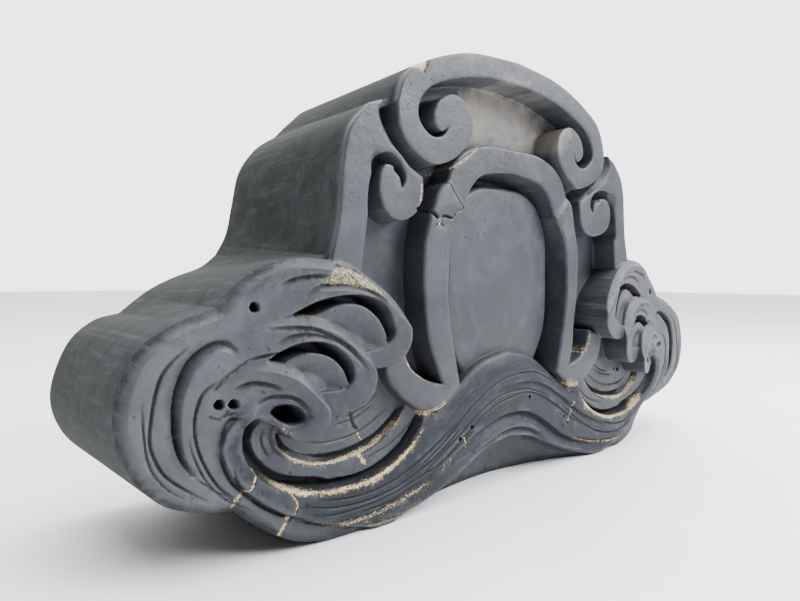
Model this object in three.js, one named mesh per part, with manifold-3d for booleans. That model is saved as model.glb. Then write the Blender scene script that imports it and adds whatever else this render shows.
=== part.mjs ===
// Ridge-end roof tile of smoked grey clay, one pressed and carved piece.
// Millimetres, +Z up, the carved face looks along -Y, and the tile stands on its flat underside.
// Origin: middle of the underside.
import * as THREE from 'three';
import { mergeVertices } from 'three/addons/utils/BufferGeometryUtils.js';
import Module from 'manifold-3d';

const wasm = await Module();
wasm.setup();

// Driving dimensions
const SPAN = 250; // half the carved face; the outlines below are shares of it
const TILE_DEPTH = 141; // from the faces of the wave crests to the back rim
const CREST_PROUD = 11; // crests stand this far in front of the scroll faces
const SHOULDER_SET = 2; // the other faces lie this far behind the scroll faces
const STREAM_SET = 3;
const FRAME_SET = 3.5;
const RIM_SET = 6.5;
const POOL_SET = 8;
const INNER_POOL_SET = 11.5;
const BOSS_SET = 12.5;
const FIELD_SET = 22;
const SLAB_SET = 27;
const MOAT_SET = 34;
const CUSP_RAISE = 1.5; // the side bands of the frame stand over its arc
const MOTIF_ROOT = 8; // scrolls, frame and waves are rooted this far into the clay of the field
const FRONT_PLATE = 20; // clay left behind the moat, the deepest cut of the face
const WALL = 21; // rim wall around the hollow back
const FOOT_WALL = 24; // thickness of the underside
const SCROLL_CUT = 19; // depth of the scroll and crest grooves below their faces
const DISC_SET = 2; // curled inner faces of the crests, behind the crest faces
const STREAM_GROOVE_DEPTH = 7;
const LOBE_GROOVE_DEPTH = 5;
const LINE_DEPTH = 2.5;
const LOBE_GROOVE_WIDTH = 6;
const STREAM_GROOVE_WIDTH = 6.5;
const LINE_WIDTH = 3;
const PIN_HOLE = 5; // small holes poked in the wet clay
const PIN_HOLE_DEPTH = 9;
const RIGHT_LOBE_SPREAD = 12.5; // the right half is carved a little differently from the left
const RIGHT_FOOT_TUCK = 7;
const RIGHT_CREST_LIFT = 6;

const CREST_FACE = -TILE_DEPTH / 2;
const SCROLL_FACE = CREST_FACE + CREST_PROUD;
const BACK = TILE_DEPTH / 2;
const behind = (set) => SCROLL_FACE + set;
const FLOOR_OF_CUT = behind(FIELD_SET) + MOTIF_ROOT;
const CAVITY_FRONT = behind(MOAT_SET) + FRONT_PLATE;
const OVERSHOOT = 5; // cuts start this far outside the clay
const CUT_FROM = CREST_FACE - OVERSHOOT;

// Each run is a smooth stretch of an outline, in shares of SPAN, for the half x >= 0.
const ARCH_TOP = [[0, 1.136], [0.18, 1.119], [0.33, 1.066], [0.392, 1.02], [0.418, 0.955]];
const BODY_FRONT = [
  [[0, 1.136], [0.18, 1.119], [0.33, 1.066], [0.392, 1.02], [0.428, 0.963]],
  [[0.428, 0.963], [0.49, 0.938], [0.54, 0.88], [0.558, 0.79], [0.566, 0.69], [0.585, 0.61]],
  [[0.585, 0.61], [0.651, 0.603], [0.72, 0.588], [0.78, 0.55], [0.82, 0.505]],
  [[0.82, 0.505], [0.9, 0.476], [0.965, 0.428], [0.998, 0.335], [0.983, 0.24], [0.925, 0.16], [0.85, 0.124],
    [0.787, 0.113]],
  [[0.787, 0.113], [0.735, 0.066], [0.66, 0.021], [0.58, 0]],
  [[0, 0]],
];
// The same runs at the back rim, where the body is a little wider and the waves flow out lower.
const BODY_BACK = [
  [[0, 1.136], [0.18, 1.115], [0.338, 1.063], [0.404, 1.012], [0.454, 0.961]],
  [[0.454, 0.961], [0.512, 0.92], [0.562, 0.85], [0.582, 0.766], [0.6, 0.68], [0.63, 0.622]],
  [[0.63, 0.622], [0.672, 0.588], [0.739, 0.562], [0.805, 0.528], [0.872, 0.474]],
  [[0.872, 0.474], [0.93, 0.458], [0.985, 0.405], [1.02, 0.3], [1.003, 0.215], [0.95, 0.15], [0.87, 0.112],
    [0.8, 0.108]],
  [[0.8, 0.108], [0.745, 0.064], [0.665, 0.02], [0.58, 0]],
  [[0, 0]],
];
const HOLLOW_CENTRE = [0, 0.42]; // all of the body's edge can be seen from here

// The sunk field between the motifs, open at the valleys between arch and shoulders
const FIELD_EDGE = [[0, 1.11], [0.28, 1.06], [0.4, 0.99], [0.44, 1.0], [0.475, 0.93], [0.535, 0.85], [0.54, 0.6],
  [0.5, 0.45], [0.44, 0.25], [0.3, 0.19], [0, 0.2]];

const ARCH_UNDERSIDE = [[0, 1.077], [0.1, 1.073], [0.2, 1.054], [0.3, 1.018], [0.346, 0.975], [0.352, 0.93],
  [0.318, 0.898], [0.28, 0.9], [0.258, 0.925]];
const ARCH_CURL = [[0.258, 0.925], [0.28, 0.911], [0.303, 0.927], [0.306, 0.953], [0.285, 0.986], [0.238, 1.006],
  [0.193, 0.985], [0.174, 0.94], [0.195, 0.89], [0.245, 0.848], [0.31, 0.831], [0.375, 0.858], [0.412, 0.905],
  [0.418, 0.955]];

const SHOULDER_BAND = [[0.452, 0.955], [0.447, 0.915], [0.413, 0.866], [0.373, 0.828], [0.33, 0.797]];
const SHOULDER_LOBE = [[0.33, 0.797], [0.338, 0.745], [0.366, 0.703], [0.405, 0.69], [0.44, 0.71], [0.46, 0.765],
  [0.445, 0.815], [0.415, 0.805], [0.392, 0.77]];
const SHOULDER_GROOVE = [[0.392, 0.77], [0.386, 0.8], [0.404, 0.833], [0.44, 0.845], [0.472, 0.82], [0.487, 0.76],
  [0.492, 0.69], [0.506, 0.6]];
const SHOULDER_ROOT = [[0.59, 0.57], [0.51, 0.55]];

const ARC_OUTER = [[0, 0.91], [0.1, 0.908], [0.18, 0.884], [0.225, 0.845], [0.25, 0.79]];
const ARC_INNER = [[0.185, 0.739], [0.16, 0.79], [0.11, 0.828], [0, 0.843]];
const SIDE_OUTER = [[0.243, 0.8], [0.278, 0.778], [0.3, 0.73], [0.326, 0.64], [0.328, 0.53], [0.308, 0.41],
  [0.262, 0.304]];
const HOOK_UPPER = [[0.262, 0.304], [0.31, 0.318], [0.362, 0.35], [0.392, 0.404]];
const HOOK_LOWER = [[0.446, 0.385], [0.432, 0.33], [0.389, 0.283], [0.332, 0.248], [0.268, 0.243], [0.2, 0.29]];
const SIDE_INNER = [[0.2, 0.29], [0.216, 0.36], [0.24, 0.47], [0.243, 0.58], [0.228, 0.675], [0.185, 0.739]];
const BOSS_EDGE = [[0, 0.812], [0.09, 0.806], [0.16, 0.768], [0.2, 0.69], [0.208, 0.56], [0.202, 0.42], [0.15, 0.315]];

const STREAM_CROWN = [[0.335, 0.205], [0.28, 0.228], [0.19, 0.287], [0.1, 0.342], [0, 0.363]];
const STREAM_UNDERSIDE = [[0, 0.13], [0.1, 0.112], [0.2, 0.068], [0.3, 0.03], [0.42, 0]];
const SLAB_DROP = 0.04; // the cut under the stream runs out below the underside
const WATER_ROOT = [[0.46, 0.34]];
const WATER_FOOT = [[0.46, 0]];
const WATER_EDGE = [[0.775, 0.31], [0.822, 0.25], [0.785, 0.17], [0.7, 0.095], [0.6, 0.045], [0.5, 0.012]];
const POOL_EDGE = [[0.771, 0.3], [0.774, 0.241], [0.71, 0.159], [0.587, 0.129], [0.452, 0.159], [0.335, 0.232]];
const POOL_ROOT = [[0.5, 0.42], [0.771, 0.42]];
const INNER_POOL_EDGE = [[0.704, 0.27], [0.684, 0.217], [0.581, 0.176], [0.47, 0.19], [0.39, 0.25]];
const INNER_POOL_ROOT = [[0.5, 0.4], [0.704, 0.4]];

// Crests from the top one down: outer edge from the body of the wave round to the tip, the edge of the
// hollow under the curl, and the curled inner face. Each face leans back from its tip to its root.
const CRESTS = [
  {
    tip: 0.405,
    foot: 0.776,
    outer: [[0.82, 0.49], [0.788, 0.532], [0.713, 0.59], [0.645, 0.603], [0.545, 0.589], [0.46, 0.534],
      [0.413, 0.471], [0.408, 0.42], [0.438, 0.379], [0.49, 0.368]],
    root: [[0.6, 0.4], [0.8, 0.42]],
    hollow: [[0.675, 0.49], [0.615, 0.517], [0.54, 0.527], [0.476, 0.509], [0.449, 0.454], [0.458, 0.428],
      [0.482, 0.412]],
    hollowRoot: [[0.56, 0.4], [0.66, 0.455]],
    disc: [[0.645, 0.486], [0.6, 0.5], [0.555, 0.506], [0.51, 0.5], [0.476, 0.48], [0.464, 0.448], [0.477, 0.418]],
  },
  {
    tip: 0.5,
    foot: 0.8,
    outer: [[0.83, 0.46], [0.777, 0.476], [0.723, 0.489], [0.657, 0.487], [0.605, 0.476], [0.56, 0.453],
      [0.516, 0.4], [0.503, 0.345], [0.525, 0.3], [0.57, 0.286], [0.61, 0.293]],
    root: [[0.66, 0.3], [0.8, 0.36]],
    hollow: [[0.73, 0.402], [0.681, 0.428], [0.634, 0.434], [0.594, 0.423], [0.561, 0.39], [0.555, 0.355],
      [0.571, 0.333]],
    hollowRoot: [[0.645, 0.33], [0.7, 0.36]],
    disc: [[0.7, 0.398], [0.655, 0.409], [0.617, 0.404], [0.586, 0.383], [0.57, 0.353], [0.58, 0.337]],
  },
  {
    tip: 0.615,
    foot: 0.82,
    outer: [[0.85, 0.37], [0.781, 0.398], [0.739, 0.403], [0.699, 0.394], [0.662, 0.374], [0.63, 0.33],
      [0.617, 0.29], [0.63, 0.256], [0.66, 0.242], [0.694, 0.248], [0.712, 0.27]],
    root: [[0.76, 0.3], [0.85, 0.33]],
  },
];
const CURL_EYE = [[0.72, 0.286], [0.686, 0.308], [0.653, 0.292], [0.684, 0.268]];

// Grooves along their middle lines
const STREAM_GROOVES = [
  [[0.771, 0.29], [0.774, 0.241], [0.71, 0.159], [0.587, 0.129], [0.452, 0.159], [0.345, 0.226]],
  [[0.704, 0.265], [0.684, 0.217], [0.581, 0.176], [0.47, 0.19], [0.395, 0.243]],
];
const LOBE_GROOVES = [
  [[0.785, 0.425], [0.83, 0.441], [0.885, 0.4], [0.906, 0.321], [0.891, 0.232], [0.86, 0.188]],
];
const LOBE_LINES = [
  [[0.962, 0.348], [0.957, 0.25], [0.905, 0.17]],
  [[0.891, 0.424], [0.932, 0.341], [0.925, 0.235], [0.85, 0.15]],
  [[0.84, 0.36], [0.867, 0.3], [0.843, 0.204], [0.781, 0.136]],
];
const STREAM_LINES = [
  [[0.34, 0.128], [0.19, 0.205], [0.08, 0.262], [-0.04, 0.277]],
  [[0.36, 0.085], [0.22, 0.118], [0.1, 0.18], [-0.04, 0.194]],
];
const PIN_HOLES = [[0.755, 0.507], [0.834, 0.332], [0.806, 0.331]];

// Where the right half differs: each change grows from nothing at the first share to its whole at the second.
const LOBE_SPREAD = { across: [0.6, 1], up: [0.08, 0.25] };
const FOOT_TUCK = { across: [0.5, 0.75], down: [0.18, 0.1] };
const CREST_LIFT = { across: [[0.36, 0.5], [0.85, 0.7]], up: [[0.36, 0.56], [0.75, 0.62]] };

// Shape helpers
const CURVE_STEPS = 3; // straight pieces in each stretch between two points of a run
const SAME_POINT = 1e-4;

function smooth(run) {
  const curve = new THREE.SplineCurve(run.map(([x, z]) => new THREE.Vector2(x, z)));
  return curve.getPoints((run.length - 1) * CURVE_STEPS);
}

// Joins runs into one outline in millimetres, with a straight line wherever two ends don't meet.
function outline(...runs) {
  const points = [];
  for (const run of runs) {
    const stretch = run.length > 2 ? smooth(run) : run.map(([x, z]) => new THREE.Vector2(x, z));
    for (const point of stretch) {
      const last = points.at(-1);
      if (!last || last.distanceTo(point) > SAME_POINT) points.push(point);
    }
  }
  if (points[0].distanceTo(points.at(-1)) < SAME_POINT) points.pop();
  return points.map((point) => point.clone().multiplyScalar(SPAN));
}

const reversed = (run) => [...run].reverse();
const corners = (points) => points.map(([x, z]) => new THREE.Vector2(x * SPAN, z * SPAN));
const mirrored = (points) => points.map((point) => new THREE.Vector2(-point.x, point.y)).reverse();

// Closes a half outline that starts and ends on the middle line with its mirror image.
function whole(half) {
  const other = mirrored(half).filter((point) => Math.abs(point.x) > SAME_POINT);
  return [...half, ...other];
}

function solid(geometry) {
  geometry.deleteAttribute('normal');
  geometry.deleteAttribute('uv');
  const merged = mergeVertices(geometry, 1e-3);
  const mesh = new wasm.Mesh({
    numProp: 3,
    vertProperties: new Float32Array(merged.attributes.position.array),
    triVerts: new Uint32Array(merged.index.array),
  });
  return new wasm.Manifold(mesh);
}

// An outline of the face, cut through the clay from one depth to another. The front may be a depth, or a
// function of x for a face that leans back.
function layer(points, front, back) {
  const geometry = new THREE.ExtrudeGeometry(new THREE.Shape(points), { depth: 1, bevelEnabled: false });
  const { position } = geometry.attributes;
  for (let i = 0; i < position.count; i++) {
    const x = position.getX(i);
    const frontDepth = typeof front === 'number' ? front : front(Math.abs(x));
    position.setXYZ(i, x, position.getZ(i) > 0.5 ? frontDepth : back, position.getY(i));
  }
  return solid(geometry);
}

// The body runs from one outline at the front to another, with as many points, at the back.
function loft(frontPoints, backPoints, front, back) {
  const ends = frontPoints.map((point, i) => [point, backPoints[i]]);
  const geometry = new THREE.ExtrudeGeometry(new THREE.Shape(frontPoints), { depth: 1, bevelEnabled: false });
  const { position } = geometry.attributes;
  for (let i = 0; i < position.count; i++) {
    const corner = new THREE.Vector2(position.getX(i), position.getY(i));
    const [start, end] = ends.find(([point]) => point.distanceTo(corner) < SAME_POINT);
    const here = position.getZ(i) > 0.5 ? start : end;
    position.setXYZ(i, here.x, position.getZ(i) > 0.5 ? front : back, here.y);
  }
  return solid(geometry);
}

// An upright block over a plan, from one height to another.
function upright(plan, bottom, top) {
  const geometry = new THREE.ExtrudeGeometry(new THREE.Shape(plan), { depth: top - bottom, bevelEnabled: false });
  geometry.translate(0, 0, bottom);
  return solid(geometry);
}

const pair = (points, front, back) => layer(points, front, back).add(layer(mirrored(points), front, back));

// A strip of even width along a run, tapering to points at both ends.
const TAPER = 2.5; // the larger, the shorter the tapered ends
function strip(run, width) {
  const curve = new THREE.SplineCurve(corners(run));
  const count = (run.length - 1) * CURVE_STEPS;
  const left = [];
  const right = [];
  for (let i = 0; i <= count; i++) {
    const t = i / count;
    const point = curve.getPoint(t);
    const along = curve.getTangent(t);
    const half = (width / 2) * Math.min(1, Math.sin(Math.PI * t) * TAPER);
    const across = new THREE.Vector2(-along.y, along.x).multiplyScalar(half);
    if (i === 0 || i === count) {
      left.push(point);
    } else {
      left.push(point.clone().add(across));
      right.push(point.clone().sub(across));
    }
  }
  return [...left, ...right.reverse()];
}

// Shortest distance from a point to the edge of a closed outline.
function distanceToEdge(point, edge) {
  let best = Infinity;
  edge.forEach((start, i) => {
    const side = edge[(i + 1) % edge.length].clone().sub(start);
    const t = THREE.MathUtils.clamp(point.clone().sub(start).dot(side) / side.lengthSq(), 0, 1);
    best = Math.min(best, start.clone().addScaledVector(side, t).distanceTo(point));
  });
  return best;
}

// The outline drawn inwards by a wall, found along rays from a centre that sees all of it.
const NEAR_ENOUGH = 0.05;
function inset(edge, wall, centre, rays) {
  const points = [];
  for (let i = 0; i < rays; i++) {
    const angle = (i / rays) * 2 * Math.PI;
    const ray = new THREE.Vector2(Math.cos(angle), Math.sin(angle));
    let reach = 0;
    for (let gap = distanceToEdge(centre, edge) - wall; gap > NEAR_ENOUGH;) {
      reach += gap;
      gap = distanceToEdge(centre.clone().addScaledVector(ray, reach), edge) - wall;
    }
    points.push(centre.clone().addScaledVector(ray, reach));
  }
  return points;
}

// The body with its hollow back
const frontEdge = whole(outline(...BODY_FRONT));
const backEdge = whole(outline(...BODY_BACK));
let tile = loft(frontEdge, backEdge, behind(RIM_SET), BACK);

const HOLLOW_RAYS = 72;
const hollowEdge = inset(backEdge, WALL, corners([HOLLOW_CENTRE])[0], HOLLOW_RAYS)
  .map((point) => new THREE.Vector2(point.x, Math.max(point.y, FOOT_WALL)));
tile = tile.subtract(layer(hollowEdge, CAVITY_FRONT, BACK + OVERSHOOT));
tile = tile.subtract(layer(whole(corners(FIELD_EDGE)), CUT_FROM, behind(FIELD_SET)));

// Arched band with its end scrolls, and the shoulders with theirs
const archHalf = outline(ARCH_UNDERSIDE, ARCH_CURL, reversed(ARCH_TOP));
tile = tile.add(layer(whole(archHalf), SCROLL_FACE, FLOOR_OF_CUT));
const shoulderEdge = outline(BODY_FRONT[1].slice(1), SHOULDER_ROOT, reversed(SHOULDER_GROOVE),
  reversed(SHOULDER_LOBE), reversed(SHOULDER_BAND));
tile = tile.add(pair(shoulderEdge, behind(SHOULDER_SET), FLOOR_OF_CUT));

// Frame around the boss: an arc, and below side bands that end in hooked feet
const arcHalf = outline(ARC_OUTER, ARC_INNER);
tile = tile.add(layer(whole(reversed(arcHalf)), behind(FRAME_SET), FLOOR_OF_CUT));
const moatHalf = outline(reversed(ARC_INNER), reversed(SIDE_INNER), [[0, SIDE_INNER[0][1]]]);
tile = tile.subtract(layer(whole(moatHalf), CUT_FROM, behind(MOAT_SET)));
const bossHalf = outline(BOSS_EDGE, [[0, BOSS_EDGE.at(-1)[1]]]);
tile = tile.add(layer(whole(bossHalf), behind(BOSS_SET), CAVITY_FRONT));

// Water: a stream that arches under the boss and swells into a pool on each side
const waterHalf = outline(reversed(STREAM_CROWN), WATER_ROOT, WATER_EDGE, WATER_FOOT, reversed(STREAM_UNDERSIDE));
tile = tile.add(layer(whole(waterHalf), behind(STREAM_SET), FLOOR_OF_CUT));
tile = tile.subtract(pair(outline(POOL_EDGE, POOL_ROOT), CUT_FROM, behind(POOL_SET)));
tile = tile.subtract(pair(outline(INNER_POOL_EDGE, INNER_POOL_ROOT), CUT_FROM, behind(INNER_POOL_SET)));

const sideEdge = outline(SIDE_OUTER, HOOK_UPPER, HOOK_LOWER, SIDE_INNER);
tile = tile.add(pair(sideEdge, behind(FRAME_SET - CUSP_RAISE), FLOOR_OF_CUT));

// Below the stream the slab falls back towards the middle.
const [slabReach] = STREAM_UNDERSIDE.at(-1);
const [, slabHeight] = STREAM_UNDERSIDE[0];
const underStream = whole(outline(STREAM_UNDERSIDE, [[slabReach, -SLAB_DROP], [0, -SLAB_DROP]]));
const SLAB_STEPS = 12;
const slabPlan = corners([[slabReach, 0], [-slabReach, 0]]).map(({ x }) => new THREE.Vector2(x, CUT_FROM));
for (let i = 0; i <= SLAB_STEPS; i++) {
  const share = (2 * i) / SLAB_STEPS - 1;
  const set = SLAB_SET + (STREAM_SET - SLAB_SET) * share * share;
  slabPlan.push(new THREE.Vector2(share * slabReach * SPAN, behind(set)));
}
const slabCut = upright(slabPlan, -OVERSHOOT, slabHeight * SPAN + OVERSHOOT);
tile = tile.subtract(layer(underStream, CUT_FROM, BACK).intersect(slabCut));

// Wave crests, each in front of the hollow of the one above
for (const { tip, foot, outer, root, hollow, hollowRoot, disc } of CRESTS) {
  const lean = (behind(RIM_SET) - CREST_FACE) / ((foot - tip) * SPAN);
  const face = (x) => CREST_FACE + Math.max(0, x - tip * SPAN) * lean;
  tile = tile.add(pair(outline(outer, root), face, FLOOR_OF_CUT));
  if (!hollow) continue;
  tile = tile.subtract(pair(outline(hollow, hollowRoot), CUT_FROM, behind(SCROLL_CUT)));
  tile = tile.add(pair(outline(disc, hollowRoot), (x) => face(x) + DISC_SET, FLOOR_OF_CUT));
}
const eye = outline([...CURL_EYE, CURL_EYE[0]]);
tile = tile.subtract(pair(eye, CUT_FROM, behind(SCROLL_CUT)));

// Grooves and poked holes
const cutGrooves = (runs, width, floor) => {
  for (const run of runs) tile = tile.subtract(pair(strip(run, width), CUT_FROM, floor));
};
cutGrooves(STREAM_GROOVES, STREAM_GROOVE_WIDTH, behind(POOL_SET + STREAM_GROOVE_DEPTH));
cutGrooves(LOBE_GROOVES, LOBE_GROOVE_WIDTH, behind(RIM_SET + LOBE_GROOVE_DEPTH));
cutGrooves(LOBE_LINES, LINE_WIDTH, behind(RIM_SET + LINE_DEPTH));
cutGrooves(STREAM_LINES, LINE_WIDTH, behind(STREAM_SET + LINE_DEPTH));
const PIN_SIDES = 8;
const pinLength = behind(RIM_SET + PIN_HOLE_DEPTH) - CUT_FROM;
for (const side of [-1, 1]) {
  for (const [x, z] of PIN_HOLES) {
    const pin = new THREE.CylinderGeometry(PIN_HOLE / 2, PIN_HOLE / 2, pinLength, PIN_SIDES);
    pin.translate(side * x * SPAN, CUT_FROM + pinLength / 2, z * SPAN);
    tile = tile.subtract(solid(pin));
  }
}

// The hand-carved right half differs a little: its outer lobe swells wider, its foot is tucked in and its top
// crest stands higher. Then the whole moves sideways, so that the origin is mid-width.
const share = (value, [nothing, all]) => {
  if (nothing < all) return THREE.MathUtils.smoothstep(value, nothing, all);
  return 1 - THREE.MathUtils.smoothstep(value, all, nothing);
};
const shareBetween = (value, [rise, fall]) => share(value, rise) * share(value, fall);
const { vertProperties, triVerts } = tile.getMesh();
const positions = new Float32Array(vertProperties);
for (let i = 0; i < positions.length; i += 3) {
  const x = positions[i] / SPAN;
  const z = positions[i + 2] / SPAN;
  const lobe = share(x, LOBE_SPREAD.across) * share(z, LOBE_SPREAD.up);
  const foot = share(x, FOOT_TUCK.across) * share(z, FOOT_TUCK.down);
  const crest = shareBetween(x, CREST_LIFT.across) * shareBetween(z, CREST_LIFT.up);
  positions[i] += RIGHT_LOBE_SPREAD * lobe - RIGHT_FOOT_TUCK * foot - RIGHT_LOBE_SPREAD / 2;
  positions[i + 2] += RIGHT_CREST_LIFT * crest;
}
const geometry = new THREE.BufferGeometry();
geometry.setAttribute('position', new THREE.BufferAttribute(positions, 3));
geometry.setIndex(new THREE.BufferAttribute(new Uint32Array(triVerts), 1));
geometry.computeVertexNormals();

const clay = new THREE.MeshStandardMaterial({ color: 0x6f757c, roughness: 0.62, metalness: 0 });
const roofEndTile = new THREE.Mesh(geometry, clay);
roofEndTile.name = 'roof_end_tile';

const group = new THREE.Group();
group.add(roofEndTile);
export default group;
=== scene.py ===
# Ridge-end roof tile of smoked grey clay, dressed for the studio.
# The carved tile is described in millimetres as a solid: outlines of the motifs, the depth of each face, and
# the grooves, holes and breaks cut into them. A skin is drawn over it and thinned to the finished mesh.
import math

import bpy
import numpy as np
import openvdb
from mathutils import Matrix, Vector


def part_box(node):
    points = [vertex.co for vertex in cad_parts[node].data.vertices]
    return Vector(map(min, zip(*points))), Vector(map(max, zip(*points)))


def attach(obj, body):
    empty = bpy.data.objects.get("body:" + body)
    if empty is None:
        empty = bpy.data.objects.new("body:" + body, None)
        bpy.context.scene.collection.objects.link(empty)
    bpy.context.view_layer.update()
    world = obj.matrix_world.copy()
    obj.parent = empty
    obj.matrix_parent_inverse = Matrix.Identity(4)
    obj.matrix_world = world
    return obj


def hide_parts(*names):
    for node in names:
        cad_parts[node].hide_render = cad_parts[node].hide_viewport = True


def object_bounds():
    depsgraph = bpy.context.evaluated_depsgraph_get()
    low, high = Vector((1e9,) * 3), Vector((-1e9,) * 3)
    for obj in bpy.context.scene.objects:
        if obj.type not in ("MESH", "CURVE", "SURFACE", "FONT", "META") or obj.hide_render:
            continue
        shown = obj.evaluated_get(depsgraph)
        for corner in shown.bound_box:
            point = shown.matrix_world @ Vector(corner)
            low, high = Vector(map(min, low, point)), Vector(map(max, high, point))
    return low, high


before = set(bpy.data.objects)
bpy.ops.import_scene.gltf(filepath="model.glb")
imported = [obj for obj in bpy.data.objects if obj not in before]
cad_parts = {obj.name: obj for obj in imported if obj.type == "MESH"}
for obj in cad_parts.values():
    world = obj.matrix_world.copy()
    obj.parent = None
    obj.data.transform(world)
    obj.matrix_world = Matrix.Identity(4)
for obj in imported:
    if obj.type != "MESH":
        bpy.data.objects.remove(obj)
cad_low, cad_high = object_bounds()

TILE = "roof_end_tile"
MM = 0.001
low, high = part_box(TILE)

# Sizes of the solid, in millimetres; the depth and the two ends of it come from the frame
SPAN = 250.0  # half the carved face; the outlines below are shares of it
CREST_FACE = low.y / MM
BACK = high.y / MM
RIGHT_LOBE_SPREAD = (high.x - low.x) / MM - 2.04 * SPAN
RIGHT_FOOT_TUCK = 7.0
RIGHT_CREST_LIFT = 6.0
RIGHT_SCROLL_SPREAD = 3.5
SCROLL_FACE = CREST_FACE + 11.0
SHOULDER_SET = 2.0
STREAM_SET = 3.0
FRAME_SET = 3.5
RIM_SET = 6.5
POOL_SET = 8.0
INNER_POOL_SET = 11.5
BOSS_SET = 12.5
FIELD_SET = 22.0
SLAB_SET = 27.0
MOAT_SET = 34.0
CUSP_RAISE = 1.5
MOTIF_ROOT = 8.0
FRONT_PLATE = 20.0
WALL = 21.0
FOOT_WALL = 24.0
SCROLL_CUT = 19.0
DISC_SET = 2.0


def behind(step):
    return SCROLL_FACE + step


FLOOR_OF_CUT = behind(FIELD_SET) + MOTIF_ROOT
CAVITY_FRONT = behind(MOAT_SET) + FRONT_PLATE

# Outlines as shares of SPAN, for the half x >= 0: each run is one smooth stretch
ARCH_TOP = [[0, 1.136], [0.18, 1.119], [0.33, 1.066], [0.392, 1.02], [0.418, 0.955]]
BODY_FRONT = [
    [[0, 1.136], [0.18, 1.119], [0.33, 1.066], [0.392, 1.02], [0.428, 0.963]],
    [[0.428, 0.963], [0.49, 0.938], [0.54, 0.88], [0.558, 0.79], [0.566, 0.69], [0.585, 0.61]],
    [[0.585, 0.61], [0.651, 0.603], [0.72, 0.588], [0.78, 0.55], [0.82, 0.505]],
    [[0.82, 0.505], [0.9, 0.476], [0.965, 0.428], [0.998, 0.335], [0.983, 0.24], [0.925, 0.16],
     [0.85, 0.124], [0.787, 0.113]],
    [[0.787, 0.113], [0.735, 0.066], [0.66, 0.021], [0.58, 0]],
    [[0, 0]],
]
BODY_BACK = [
    [[0, 1.136], [0.18, 1.115], [0.338, 1.063], [0.404, 1.012], [0.454, 0.961]],
    [[0.454, 0.961], [0.512, 0.92], [0.562, 0.85], [0.582, 0.766], [0.6, 0.68], [0.63, 0.622]],
    [[0.63, 0.622], [0.672, 0.588], [0.739, 0.562], [0.805, 0.528], [0.872, 0.474]],
    [[0.872, 0.474], [0.93, 0.458], [0.985, 0.405], [1.02, 0.3], [1.003, 0.215], [0.95, 0.15], [0.87, 0.112],
     [0.8, 0.108]],
    [[0.8, 0.108], [0.745, 0.064], [0.665, 0.02], [0.58, 0]],
    [[0, 0]],
]
FIELD_EDGE = [[0, 1.11], [0.28, 1.06], [0.4, 0.975], [0.425, 0.95], [0.475, 0.925], [0.535, 0.85],
              [0.54, 0.6], [0.5, 0.45], [0.44, 0.25], [0.3, 0.19], [0, 0.2]]
ARCH_UNDERSIDE = [[0, 1.077], [0.1, 1.073], [0.2, 1.054], [0.3, 1.018], [0.346, 0.975], [0.352, 0.93],
                  [0.318, 0.898], [0.28, 0.9], [0.258, 0.925]]
ARCH_CURL = [[0.258, 0.925], [0.28, 0.911], [0.303, 0.927], [0.306, 0.953], [0.285, 0.986], [0.238, 1.006],
             [0.193, 0.985], [0.174, 0.94], [0.195, 0.89], [0.245, 0.848], [0.31, 0.831], [0.375, 0.858],
             [0.412, 0.905], [0.418, 0.955]]
SHOULDER_BAND = [[0.452, 0.955], [0.447, 0.915], [0.413, 0.866], [0.373, 0.828], [0.33, 0.797]]
SHOULDER_LOBE = [[0.33, 0.797], [0.334, 0.75], [0.352, 0.715], [0.386, 0.695], [0.419, 0.695],
                 [0.447, 0.716], [0.461, 0.75], [0.46, 0.788], [0.445, 0.814], [0.42, 0.812],
                 [0.404, 0.793], [0.396, 0.768]]
SHOULDER_GROOVE = [[0.396, 0.768], [0.387, 0.785], [0.389, 0.805], [0.404, 0.828], [0.432, 0.842],
                   [0.462, 0.831], [0.478, 0.8], [0.489, 0.765], [0.493, 0.725], [0.494, 0.69], [0.506, 0.6]]
SHOULDER_ROOT = [[0.59, 0.57], [0.51, 0.55]]
ARC_OUTER = [[0, 0.91], [0.1, 0.908], [0.18, 0.884], [0.225, 0.845], [0.25, 0.79]]
ARC_INNER = [[0.185, 0.739], [0.16, 0.79], [0.11, 0.828], [0, 0.843]]
SIDE_OUTER = [[0.243, 0.8], [0.278, 0.778], [0.3, 0.73], [0.326, 0.64], [0.328, 0.53], [0.308, 0.41],
              [0.262, 0.304]]
HOOK_UPPER = [[0.262, 0.304], [0.31, 0.318], [0.362, 0.35], [0.392, 0.404]]
HOOK_LOWER = [[0.446, 0.385], [0.432, 0.33], [0.389, 0.283], [0.332, 0.248], [0.268, 0.243], [0.2, 0.29]]
SIDE_INNER = [[0.2, 0.29], [0.216, 0.36], [0.24, 0.47], [0.243, 0.58], [0.228, 0.675], [0.185, 0.739]]
BOSS_EDGE = [[0, 0.812], [0.09, 0.806], [0.16, 0.768], [0.2, 0.69], [0.208, 0.56], [0.202, 0.42],
             [0.15, 0.315]]
STREAM_CROWN = [[0.275, 0.236], [0.19, 0.287], [0.1, 0.342], [0, 0.363]]
STREAM_UNDERSIDE = [[0, 0.13], [0.1, 0.112], [0.2, 0.068], [0.3, 0.03], [0.42, 0]]
SLAB_DROP = 0.04
WATER_ROOT = [[0.3, 0.262], [0.34, 0.272], [0.39, 0.305], [0.43, 0.35], [0.46, 0.4]]
WATER_FOOT = [[0.46, 0]]
WATER_EDGE = [[0.775, 0.31], [0.822, 0.25], [0.785, 0.17], [0.7, 0.095], [0.6, 0.045], [0.5, 0.012]]
POOL_EDGE = [[0.771, 0.3], [0.774, 0.241], [0.71, 0.159], [0.655, 0.135], [0.587, 0.12], [0.5, 0.117],
             [0.43, 0.134], [0.372, 0.168], [0.33, 0.215], [0.318, 0.255]]
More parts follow.
